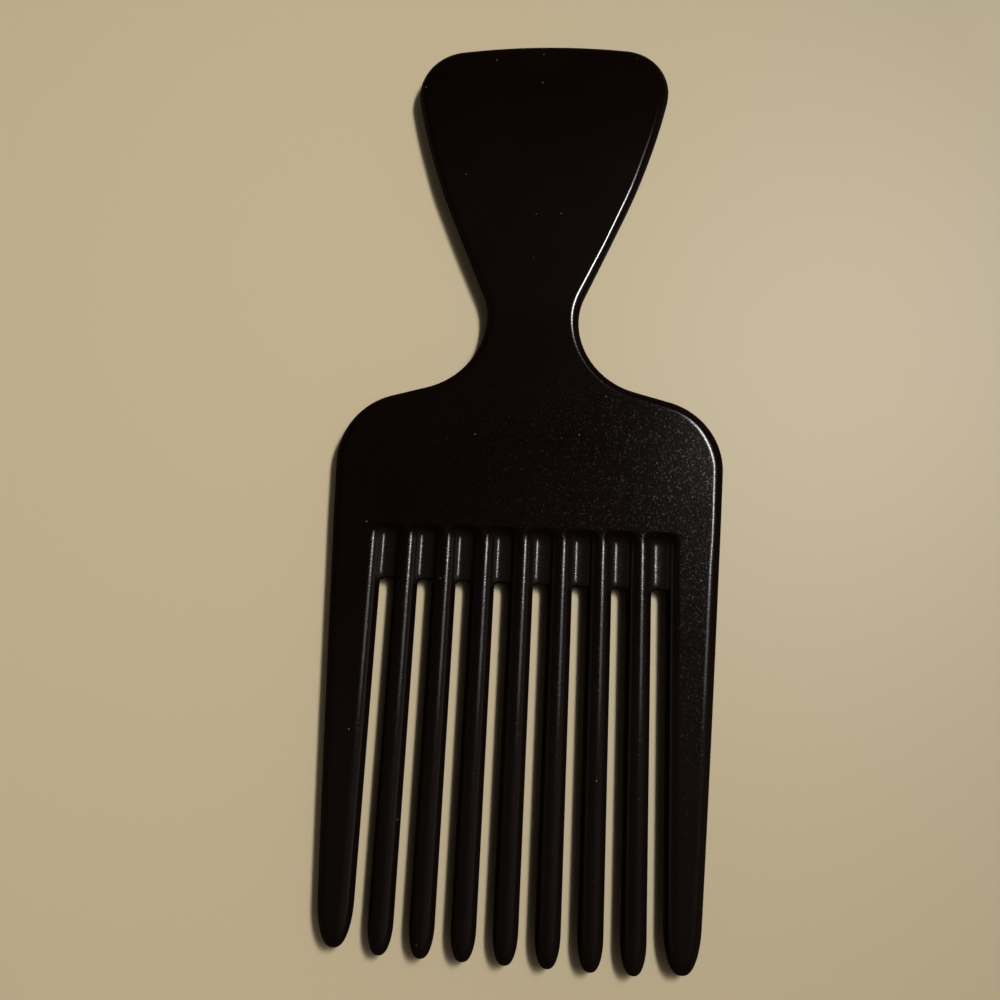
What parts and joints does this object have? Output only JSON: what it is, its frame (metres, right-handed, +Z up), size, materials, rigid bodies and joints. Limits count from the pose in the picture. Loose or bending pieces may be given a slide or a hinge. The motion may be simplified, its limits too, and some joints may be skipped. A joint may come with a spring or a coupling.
{
  "type": "afro pick",
  "caption": "Flat one-piece plastic hair pick: flared paddle grip, narrow waist, sloped shoulders and long straight round teeth between two wider guard teeth.",
  "frame": {"origin": "under the middle of the pick, on the surface that it lies on", "axes": "+Z up out of the flat side, +Y from the teeth to the grip, +X to the right seen from above with the grip away from the viewer"},
  "size_m": [0.0682, 0.165, 0.0042],
  "materials": {
    "black_plastic": "injection-moulded black plastic with a soft satin gloss and fine handling marks"
  },
  "bodies": {
    "root": {"grip": "black_plastic", "shoulders": "black_plastic", "head_plate": "black_plastic", "guard_tooth_left": "black_plastic", "guard_tooth_right": "black_plastic", "tooth_1": "black_plastic", "tooth_2": "black_plastic", "tooth_3": "black_plastic", "tooth_4": "black_plastic", "tooth_5": "black_plastic", "tooth_6": "black_plastic", "tooth_7": "black_plastic", "root_web_1": "black_plastic", "root_web_2": "black_plastic", "root_web_3": "black_plastic", "root_web_4": "black_plastic", "root_web_5": "black_plastic", "root_web_6": "black_plastic", "root_web_7": "black_plastic", "root_web_8": "black_plastic"}
  },
  "joints": []
}
